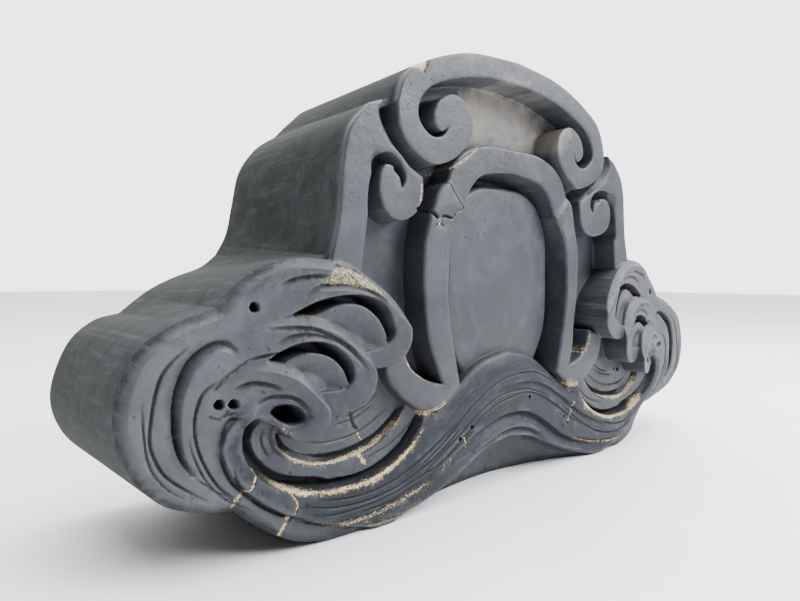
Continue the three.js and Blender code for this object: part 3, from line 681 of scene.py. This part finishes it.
def carve_front(side):
    lines = half_of(cut, side)
    wobble = half_of(face_noise, side)
    flat = lines + wobble

    def level(step, engraved=True):
        return behind(step) + (flat if engraved else wobble)

    lobe_side = ramp(half_x, 0.6 * SPAN, 0.75 * SPAN)[:, None] * ramp(grid_z, 6, 20)[None, :]
    body = body_at(front_y)
    over = level(RIM_SET)[..., None] - front_y
    solid = round_and(body, over, 1.2)
    solid = np.maximum(solid, (body + over + (0.5 + 4.5 * lobe_side)[..., None]) * SQRT_HALF)
    sunk(solid, field, level(FIELD_SET, False) + 0.5 * wobble, 1.0, 2.0)
    proud(solid, arch, level(0), 1.3, 1.5)
    band_bevel = 4.0 * ramp(-np.gradient(shoulder[1], CELL, axis=0), 0.3, 0.8)
    band_bevel = band_bevel * ramp(grid_z, 195, 205)[shoulder[0][1]]
    proud(solid, shoulder, level(SHOULDER_SET), 1.4, 1.5, 0.4 + band_bevel)
    proud(solid, arc, level(FRAME_SET), 2.4, 1.5)
    sunk(solid, moat, level(MOAT_SET, False), 1.5, 2.0)
    dome = np.hypot(half_x[:, None] / (0.21 * SPAN), (grid_z[None, :] - 0.55 * SPAN) / (0.3 * SPAN))
    boss_face = level(BOSS_SET, False) - 0.6 * wobble + 1.6 * np.clip(dome, 0, 1.2) ** 2
    proud_to(solid, boss, boss_face, 3.2)
    roll = 5.0 * np.clip(1 + water[1] / 13.0, 0, 1) ** 2 * crown_mask()[water[0]]
    water_face = level(STREAM_SET)
    water_face[water[0]] += roll
    proud(solid, water, water_face, 1.3, 1.0)
    sunk(solid, pool, level(POOL_SET), 1.6, 2.0)
    sunk(solid, inner_pool, level(INNER_POOL_SET), 1.6, 2.0)
    proud(solid, side_band, level(FRAME_SET - CUSP_RAISE), 2.4, 1.2)
    cut_slab(solid, wobble)
    for crest, parts in zip(CRESTS, crest_areas):
        face = leaning(crest) + flat + 0.3
        bevel = 0.6 + 4.6 * upward(parts["outer"][1])
        proud(solid, parts["outer"], face, 1.1, root_fillet[parts["outer"][0]][..., None], bevel)
        if "hollow" not in parts:
            continue
        sunk(solid, parts["hollow"], level(SCROLL_CUT, False), 1.0, 2.0)
        dish = 3.5 * ramp(-parts["disc"][1], 1.5, 14.0)
        disc_face = leaning(crest, DISC_SET) + wobble
        disc_face[parts["disc"][0]] += dish
        proud(solid, parts["disc"], disc_face, 1.0, 1.5)
    sunk(solid, eye, level(SCROLL_CUT, False), 2.5, 3.0)
    return solid


def crown_mask():
    """The stream's upper edge between the hooked feet, where the water rolls back."""
    return (ramp(half_x, 0.42 * SPAN, 0.3 * SPAN)[:, None] * ramp(grid_z, 0.17 * SPAN, 0.24 * SPAN)[None, :])


def proud_to(solid, where_and_shape, face, edge):
    """A lump that stands on the floor of the moat."""
    where, shape = where_and_shape
    lump = round_and(shape[..., None], face[where][..., None] - front_y, edge)
    solid[where] = round_or(solid[where], lump, 2.0)


def cut_slab(solid, wobble):
    share = np.clip(half_x / (slab_reach * SPAN), 0, 1)
    slab = behind(SLAB_SET + (STREAM_SET - SLAB_SET) * share ** 2)[:, None] + wobble
    sunk(solid, under_stream, slab, 1.6, 3.0)


def hollow_back():
    solid = body_at(back_y)
    level = back_y[None, None, :]
    solid = round_and(solid, np.broadcast_to(level - BACK, solid.shape), 2.2)
    cavity = round_and(body_back + WALL, np.broadcast_to(FOOT_WALL - grid_z[None, :], body_back.shape), 5.0)
    cutter = round_and(cavity[..., None], CAVITY_FRONT - level, 6.0)
    return round_and(solid, -cutter, 1.6)


def whole_solid():
    rear = hollow_back()
    left = np.concatenate([carve_front(-1), rear], axis=2)
    right = np.concatenate([carve_front(1), rear], axis=2)
    return np.concatenate([left[:0:-1], right], axis=0)


# The skin
TRIANGLES = 190_000
MARKS_BEGIN = (-24.0, -28.0)  # depths over which the marks of the face fade in
levels_y = np.concatenate([front_y, back_y])


def skin(solid):
    """A dense mesh over the solid, and how many triangles it has."""
    grid = openvdb.FloatGrid(4.0)
    grid.copyFromArray(np.clip(solid, -4, 4))
    points, _, quads = grid.convertToPolygons(0.0, 0.0)
    mesh = bpy.data.meshes.new(TILE + "_clay")
    mesh.vertices.add(len(points))
    mesh.vertices.foreach_set("co", to_millimetres(points).astype(np.float32).ravel())
    mesh.loops.add(len(quads) * 4)
    mesh.loops.foreach_set("vertex_index", quads.astype(np.int32).ravel())
    mesh.polygons.add(len(quads))
    mesh.polygons.foreach_set("loop_start", np.arange(0, len(quads) * 4, 4, dtype=np.int32))
    mesh.update(calc_edges=True)
    return mesh, len(quads) * 2


def to_millimetres(points):
    x = (points[:, 0] - (half_x.size - 1)) * CELL
    z = grid_z[0] + points[:, 1] * CELL
    y = np.interp(points[:, 2], np.arange(levels_y.size), levels_y)
    return np.column_stack([x, y, z])


def thinned(mesh, triangles):
    source = bpy.data.objects.new("skin", mesh)
    bpy.context.scene.collection.objects.link(source)
    modifier = source.modifiers.new("thin", "DECIMATE")
    modifier.ratio = TRIANGLES / triangles
    modifier.use_collapse_triangulate = True
    thin = bpy.data.meshes.new_from_object(source.evaluated_get(bpy.context.evaluated_depsgraph_get()))
    bpy.data.objects.remove(source)
    bpy.data.meshes.remove(mesh)
    return thin


def box_blur(values, reach):
    for axis in range(3):
        count = values.shape[axis]
        sums = np.cumsum(values, axis=axis, dtype=np.float32)
        upper = np.minimum(np.arange(count) + reach, count - 1)
        lower = np.arange(count) - reach - 1
        before = np.take(sums, np.maximum(lower, 0), axis=axis)
        shape = [1, 1, 1]
        shape[axis] = count
        before *= (lower >= 0).astype(np.float32).reshape(shape)
        values = (np.take(sums, upper, axis=axis) - before) / (2 * reach + 1)
    return values


def sample(points_mm, *fields):
    """Values of fields of the grid at points of the mesh."""
    i = np.clip(np.rint(points_mm[:, 0] / CELL).astype(int) + half_x.size - 1, 0, full_x.size - 1)
    k = np.clip(np.rint((points_mm[:, 2] - grid_z[0]) / CELL).astype(int), 0, grid_z.size - 1)
    j = np.clip(np.rint(np.interp(points_mm[:, 1], levels_y, np.arange(levels_y.size))).astype(int), 0,
                levels_y.size - 1)
    return [field[i, k] if field.ndim == 2 else field[i, k, j] for field in fields]


def body_distance(points_mm):
    """How far points lie outside the outline of the body, in a plane across its depth."""
    i = np.clip(np.rint(np.abs(points_mm[:, 0]) / CELL).astype(int), 0, half_x.size - 1)
    k = np.clip(np.rint((points_mm[:, 2] - grid_z[0]) / CELL).astype(int), 0, grid_z.size - 1)
    t = np.clip((points_mm[:, 1] - behind(RIM_SET)) / (BACK - behind(RIM_SET)), 0, 1)
    return body_front[i, k] * (1 - t) + body_back[i, k] * t


def warp(points_mm):
    """The hand-carved right half differs a little, and the whole moves so that the origin is mid-width."""
    x, z = points_mm[:, 0] / SPAN, points_mm[:, 2] / SPAN
    lobe = ramp(x, 0.6, 1) * ramp(z, 0.08, 0.25)
    foot = ramp(x, 0.5, 0.75) * ramp(z, 0.18, 0.1)
    crest = ramp(x, 0.36, 0.5) * ramp(x, 0.85, 0.7) * ramp(z, 0.36, 0.56) * ramp(z, 0.75, 0.62)
    frame_side = ramp(x, 0.235, 0.32) * ramp(x, 0.48, 0.36) * ramp(z, 0.3, 0.42) * ramp(z, 0.9, 0.82)
    scroll = ramp(x, 0.4, 0.46) * ramp(x, 0.53, 0.49) * ramp(z, 0.66, 0.7) * ramp(z, 0.88, 0.84)
    moved = points_mm.copy()
    moved[:, 0] += RIGHT_LOBE_SPREAD * lobe - RIGHT_FOOT_TUCK * foot - RIGHT_LOBE_SPREAD / 2
    moved[:, 0] += RIGHT_SCROLL_SPREAD * (scroll - 2 * frame_side) * ramp(-points_mm[:, 1], 25.0, 30.0)
    moved[:, 2] += RIGHT_CREST_LIFT * crest
    return moved


def stream_shade_mask():
    """The stream's face, which is painted darker than the rest as shade; its pools get less of that shade.
    """
    mask = np.zeros_like(cut)
    for side in (-1, 1):
        half = half_of(mask, side)
        half[water[0]] = ramp(water[1], 1.0, -4.0)
        half[pool[0]] *= 0.35 + 0.65 * ramp(pool[1], -2.0, 1.0)
    return mask


def build_tile():
    solid = whole_solid()
    mesh, triangles = skin(solid)
    mesh = thinned(mesh, triangles)
    filled = np.clip(0.5 - solid / 1.6, 0, 1)
    # How enclosed each point is, over a wide reach, for the painted shade that darkens recesses
    shade_fill_grid = box_blur(filled, 8)
    # How enclosed each point is, over a short reach, for the painted highlight along outer edges
    highlight_fill_grid = box_blur(filled, 2)
    points = np.empty(len(mesh.vertices) * 3, np.float32)
    mesh.vertices.foreach_get("co", points)
    points = points.reshape(-1, 3)
    near, highlight_fill, dusty, cut_shade_sample, broken, chalky, stained, shaded_stream = sample(
        points, shade_fill_grid, highlight_fill_grid, dust, dark, scar, chip, stain, stream_shade_mask())
    at_lobe = ramp(np.abs(points[:, 0]), 0.66 * SPAN, 0.84 * SPAN)
    on_front = ramp(points[:, 1], *MARKS_BEGIN)
    marks = {
        # Painted shade: recesses darkened by how enclosed they are, stored as the cavity mark
        "cavity": np.clip((near - 0.5) * 2.6, 0, 1),
        # Painted highlight: outer edges and rims, where the least is enclosed, lightened
        "edge": np.clip((0.46 - highlight_fill) * 6.0, 0, 1),
        "deposit": np.maximum(dusty * on_front, 1.2 * chalky * ramp(points[:, 1], -54.0, -56.0)),
        # Painted shade in grooves, open cracks and holes
        "cut_shade": cut_shade_sample * on_front,
        "broken": broken * ramp(points[:, 1], -58.6, -60.0),
        "stain": stained * on_front,
        # Painted shade: the stream's face darkened
        "shaded_stream": shaded_stream * on_front,
        # Painted light: the outer lobes lightened, except on the stream
        "lit_lobe": at_lobe * (1 - shaded_stream) * on_front,
        "wall": ramp(body_distance(points), -4.0, -1.5) * ramp(points[:, 1], -56.0, -51.0),
    }
    mesh.vertices.foreach_set("co", settled(warp(points) * MM).astype(np.float32).ravel())
    for name, values in marks.items():
        attribute = mesh.attributes.new(name, "FLOAT", "POINT")
        attribute.data.foreach_set("value", values.astype(np.float32))
    mesh.update()
    mesh.shade_smooth()
    if signed_volume(mesh) < 0:
        mesh.flip_normals()
    tile = bpy.data.objects.new("carved_clay_tile", mesh)
    bpy.context.scene.collection.objects.link(tile)
    return tile


def settled(points):
    """Nothing reaches outside the tile's box."""
    return np.clip(points, np.array(cad_low), np.array(cad_high))


def signed_volume(mesh):
    mesh.calc_loop_triangles()
    corners = np.empty(len(mesh.loop_triangles) * 3, np.int32)
    mesh.loop_triangles.foreach_get("vertices", corners)
    points = np.empty(len(mesh.vertices) * 3, np.float32)
    mesh.vertices.foreach_get("co", points)
    a, b, c = points.reshape(-1, 3)[corners.reshape(-1, 3)].transpose(1, 0, 2)
    return float(np.einsum("ij,ij->i", a, np.cross(b, c)).sum()) / 6


# Materials
class Nodes:
    """Short ways to make and link the nodes of one material."""

    def __init__(self, name):
        self.material = bpy.data.materials.new(name)
        self.material.use_nodes = True
        self.tree = self.material.node_tree
        self.shader = self.tree.nodes["Principled BSDF"]
        self.coords = self.tree.nodes.new("ShaderNodeTexCoord").outputs["Object"]

    def link(self, value, socket):
        if isinstance(value, (int, float)):
            socket.default_value = value
        elif isinstance(value, tuple):
            socket.default_value = (*value, 1.0) if len(value) == 3 else value
        else:
            self.tree.links.new(value, socket)

    def stretched(self, scale):
        node = self.tree.nodes.new("ShaderNodeMapping")
        node.inputs["Scale"].default_value = scale
        self.link(self.coords, node.inputs["Vector"])
        return node.outputs["Vector"]

    def noise(self, scale, detail=4.0, roughness=0.55, stretch=None, distortion=0.0):
        node = self.tree.nodes.new("ShaderNodeTexNoise")
        node.inputs["Scale"].default_value = scale
        node.inputs["Detail"].default_value = detail
        node.inputs["Roughness"].default_value = roughness
        node.inputs["Distortion"].default_value = distortion
        self.link(self.stretched(stretch) if stretch else self.coords, node.inputs["Vector"])
        return node.outputs["Fac"]

    def attribute(self, name):
        node = self.tree.nodes.new("ShaderNodeAttribute")
        node.attribute_name = name
        return node.outputs["Fac"]

    def span(self, value, from_low, from_high, to_low=0.0, to_high=1.0):
        node = self.tree.nodes.new("ShaderNodeMapRange")
        node.interpolation_type = "SMOOTHSTEP"
        self.link(value, node.inputs["Value"])
        limits = {"From Min": from_low, "From Max": from_high, "To Min": to_low, "To Max": to_high}
        for key, number in limits.items():
            self.link(number, node.inputs[key])
        return node.outputs["Result"]

    def math(self, kind, a, b=0.0):
        node = self.tree.nodes.new("ShaderNodeMath")
        node.operation = kind
        self.link(a, node.inputs[0])
        self.link(b, node.inputs[1])
        return node.outputs[0]

    def mix(self, share, a, b):
        node = self.tree.nodes.new("ShaderNodeMix")
        node.data_type = "RGBA"
        self.link(share, node.inputs[0])
        self.link(a, node.inputs[6])
        self.link(b, node.inputs[7])
        return node.outputs[2]

    def bump(self, height, distance, strength=1.0, normal=None):
        node = self.tree.nodes.new("ShaderNodeBump")
        node.inputs["Strength"].default_value = strength
        node.inputs["Distance"].default_value = distance
        self.link(height, node.inputs["Height"])
        if normal is not None:
            self.link(normal, node.inputs["Normal"])
        return node.outputs["Normal"]


def smoked_clay():
    n = Nodes("smoked_clay")
    broad = n.noise(12.0, 3.0)
    patches = n.noise(38.0, 6.0, 0.65, distortion=0.8)
    blotches = n.noise(90.0, 5.0, 0.7, distortion=1.2)
    grain = n.noise(420.0, 3.0, 0.6)
    crumbs = n.noise(800.0, 4.0, 0.75)
    drag = n.noise(60.0, 4.0, 0.6, stretch=(1.0, 0.1, 1.0))
    colour = n.mix(n.span(broad, 0.38, 0.62), (0.025, 0.028, 0.036), (0.033, 0.036, 0.046))
    colour = n.mix(n.math("MULTIPLY", n.span(patches, 0.45, 0.65), 0.5), colour, (0.05, 0.054, 0.066))
    colour = n.mix(n.math("MULTIPLY", n.span(blotches, 0.55, 0.7), 0.5), colour, (0.024, 0.029, 0.027))
    colour = n.mix(n.math("MULTIPLY", n.span(drag, 0.5, 0.75), 0.2), colour, (0.019, 0.022, 0.024))
    colour = n.mix(n.math("MULTIPLY", n.span(grain, 0.55, 0.75), 0.35), colour, (0.016, 0.017, 0.019))
    colour = n.mix(n.math("MULTIPLY", n.span(crumbs, 0.62, 0.74), 0.3), colour, (0.09, 0.09, 0.09))
    # Painted shade: the stream's face darker than the rest; the same mask also dulls its sheen further down
    colour = n.mix(n.math("MULTIPLY", n.attribute("shaded_stream"), 0.6), colour, (0.012, 0.014, 0.019))
    # Painted light: the outer lobes painted paler, in patches
    lit_lobe = n.math("MULTIPLY", n.attribute("lit_lobe"), n.span(patches, 0.3, 0.65, 0.2, 0.7))
    colour = n.mix(lit_lobe, colour, (0.07, 0.075, 0.086))
    wall = n.attribute("wall")
    weathered = n.mix(n.span(patches, 0.4, 0.6), (0.014, 0.018, 0.016), (0.034, 0.037, 0.037))
    weathered = n.mix(n.math("MULTIPLY", n.span(blotches, 0.5, 0.66), 0.6), weathered, (0.02, 0.022, 0.027))
    scratches = n.noise(30.0, 4.0, 0.6, stretch=(1.0, 0.5, 7.0), distortion=0.6)
    weathered = n.mix(n.math("MULTIPLY", n.span(scratches, 0.64, 0.7), 0.5), weathered, (0.07, 0.07, 0.068))
    colour = n.mix(n.math("MULTIPLY", wall, 0.85), colour, weathered)
    # Small pits, bumped in below and painted near-black inside as their shade
    pits = n.math("MULTIPLY", n.span(n.noise(260.0, 2.0), 0.66, 0.72), n.span(n.noise(11.0, 2.0), 0.48, 0.6))
    colour = n.mix(n.math("MULTIPLY", pits, 0.8), colour, (0.006, 0.006, 0.006))
    # Painted shade: the cavity mark darkens recesses towards black, where shade falls; it also roughens them
    cavity = n.attribute("cavity")
    colour = n.mix(n.math("MULTIPLY", n.span(cavity, 0.2, 0.9), 0.8), colour, (0.006, 0.007, 0.008))
    stained = n.math("MULTIPLY", n.attribute("stain"), n.span(patches, 0.35, 0.6, 0.4, 0.95))
    colour = n.mix(stained, colour, (0.17, 0.155, 0.135))
    # Painted highlight: the edge mark lightens the rims of edges, in patches
    edge = n.math("MULTIPLY", n.attribute("edge"), n.span(patches, 0.3, 0.6, 0.2, 0.7))
    colour = n.mix(edge, colour, (0.085, 0.09, 0.1))
    powder = n.math("ADD", n.attribute("deposit"), n.math("MULTIPLY", n.math("SUBTRACT", crumbs, 0.52), 3.4))
    powder = n.math("MULTIPLY", powder, n.span(n.attribute("deposit"), 0.02, 0.15))
    colour = n.mix(n.math("MULTIPLY", n.span(powder, 0.2, 0.5), 0.85), colour, (0.085, 0.062, 0.035))
    deposit = n.span(powder, 0.5, 0.85)
    colour = n.mix(deposit, colour, n.mix(n.span(blotches, 0.4, 0.6), (0.46, 0.34, 0.18), (0.6, 0.5, 0.34)))
    # Painted shade: grooves, open cracks and holes darkened nearly to black
    colour = n.mix(n.attribute("cut_shade"), colour, (0.004, 0.004, 0.005))
    scar_colour = n.mix(n.span(crumbs, 0.42, 0.6), (0.05, 0.045, 0.03), (0.36, 0.31, 0.2))
    colour = n.mix(n.math("MULTIPLY", n.attribute("broken"), 0.95), colour, scar_colour)
    n.link(colour, n.shader.inputs["Base Color"])
    rough = n.span(patches, 0.3, 0.7, 0.42, 0.58)
    rough = n.math("ADD", rough, n.math("MULTIPLY", n.math("MAXIMUM", deposit, wall), 0.3))
    n.link(n.math("ADD", rough, n.math("MULTIPLY", cavity, 0.2)), n.shader.inputs["Roughness"])
    dull = n.math("MAXIMUM", wall, n.math("MULTIPLY", n.attribute("shaded_stream"), 0.8))
    n.link(n.span(dull, 0.0, 1.0, 0.38, 0.12), n.shader.inputs["Specular IOR Level"])
    relief = n.bump(n.noise(160.0, 5.0, 0.6), 0.0008, 0.5)
    relief = n.bump(grain, 0.0003, 0.6, relief)
    relief = n.bump(n.math("SUBTRACT", 0.0, pits), 0.0006, 0.8, relief)
    n.link(relief, n.shader.inputs["Normal"])
    return n.material


def pale_floor():
    n = Nodes("pale_floor")
    soft = n.noise(6.0, 4.0)
    shade = n.mix(n.span(soft, 0.35, 0.7), (0.9, 0.9, 0.9), (0.94, 0.94, 0.935))
    n.link(shade, n.shader.inputs["Base Color"])
    n.shader.inputs["Roughness"].default_value = 0.7
    n.link(n.bump(n.noise(25.0, 5.0), 0.001, 0.3), n.shader.inputs["Normal"])
    return n.material


# Studio
CAMERA_PLACE = (-0.31851, -0.31247, 0.14061)
CAMERA_TURN = (-39.666, 2.204, 0.2825)  # azimuth, elevation and roll in degrees
SENSOR_WIDTH = 36.0
FOCAL_LENGTH = 26.268


def set_camera():
    """The photograph's view, solved from the tile's own symmetry."""
    azimuth, elevation, roll = (math.radians(angle) for angle in CAMERA_TURN)
    back = Vector((math.sin(azimuth) * math.cos(elevation), -math.cos(azimuth) * math.cos(elevation),
                   math.sin(elevation)))
    right = (-back).cross(Vector((0, 0, 1))).normalized()
    up = right.cross(-back)
    tilted_right = math.cos(roll) * right + math.sin(roll) * up
    tilted_up = math.cos(roll) * up - math.sin(roll) * right
    data = bpy.data.cameras.new("camera")
    data.sensor_width = SENSOR_WIDTH
    data.lens = FOCAL_LENGTH
    data.clip_start = 0.01
    camera = bpy.data.objects.new("camera", data)
    axes = zip(tilted_right, tilted_up, back, CAMERA_PLACE)
    camera.matrix_world = Matrix([[*row] for row in axes] + [[0, 0, 0, 1]])
    bpy.context.scene.collection.objects.link(camera)
    bpy.context.scene.camera = camera


def area_light(name, place, target, size, watts, colour=(1.0, 1.0, 1.0)):
    data = bpy.data.lights.new(name, "AREA")
    data.shape = "RECTANGLE"
    data.size, data.size_y = size
    data.energy = watts
    data.color = colour
    lamp = bpy.data.objects.new(name, data)
    lamp.location = place
    lamp.rotation_euler = (Vector(target) - Vector(place)).to_track_quat("-Z", "Y").to_euler()
    bpy.context.scene.collection.objects.link(lamp)


def set_lights():
    """A white backdrop beyond the tile, a dim room on the other side, a large soft key from the front right
    and a weaker one from above."""
    world = bpy.data.worlds.new("studio")
    bpy.context.scene.world = world
    world.use_nodes = True
    nodes, links = world.node_tree.nodes, world.node_tree.links
    way = nodes.new("ShaderNodeTexCoord")
    towards = nodes.new("ShaderNodeVectorMath")
    towards.operation = "DOT_PRODUCT"
    towards.inputs[1].default_value = (0.5, 0.62, 0.6)
    glow = nodes.new("ShaderNodeMapRange")
    glow.interpolation_type = "SMOOTHSTEP"
    for key, number in (("From Min", 0.3), ("From Max", 0.62), ("To Min", 0.1), ("To Max", 3.6)):
        glow.inputs[key].default_value = number
    links.new(way.outputs["Generated"], towards.inputs[0])
    links.new(towards.outputs["Value"], glow.inputs["Value"])
    links.new(glow.outputs["Result"], nodes["Background"].inputs["Strength"])
    nodes["Background"].inputs["Color"].default_value = (1.0, 1.0, 1.0, 1.0)
    area_light("key", (0.75, -1.0, 1.05), (0, 0, 0.15), (1.0, 0.9), 58.0, (0.95, 0.975, 1.0))
    area_light("top", (0.0, 0.0, 1.6), (0, 0, 0), (1.8, 1.4), 40.0)


def lay_floor(material):
    sheet = bpy.data.meshes.new("floor")
    reach = 6.0
    corners = [(-reach, -reach, 0), (reach, -reach, 0), (reach, reach, 0), (-reach, reach, 0)]
    sheet.from_pydata(corners, [], [(0, 1, 2, 3)])
    floor = bpy.data.objects.new("floor", sheet)
    sheet.materials.append(material)
    bpy.context.scene.collection.objects.link(floor)


set_camera()
tile = build_tile()
tile.data.materials.append(smoked_clay())
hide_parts(TILE)
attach(tile, "root")
lay_floor(pale_floor())
set_lights()

bpy.context.view_layer.update()
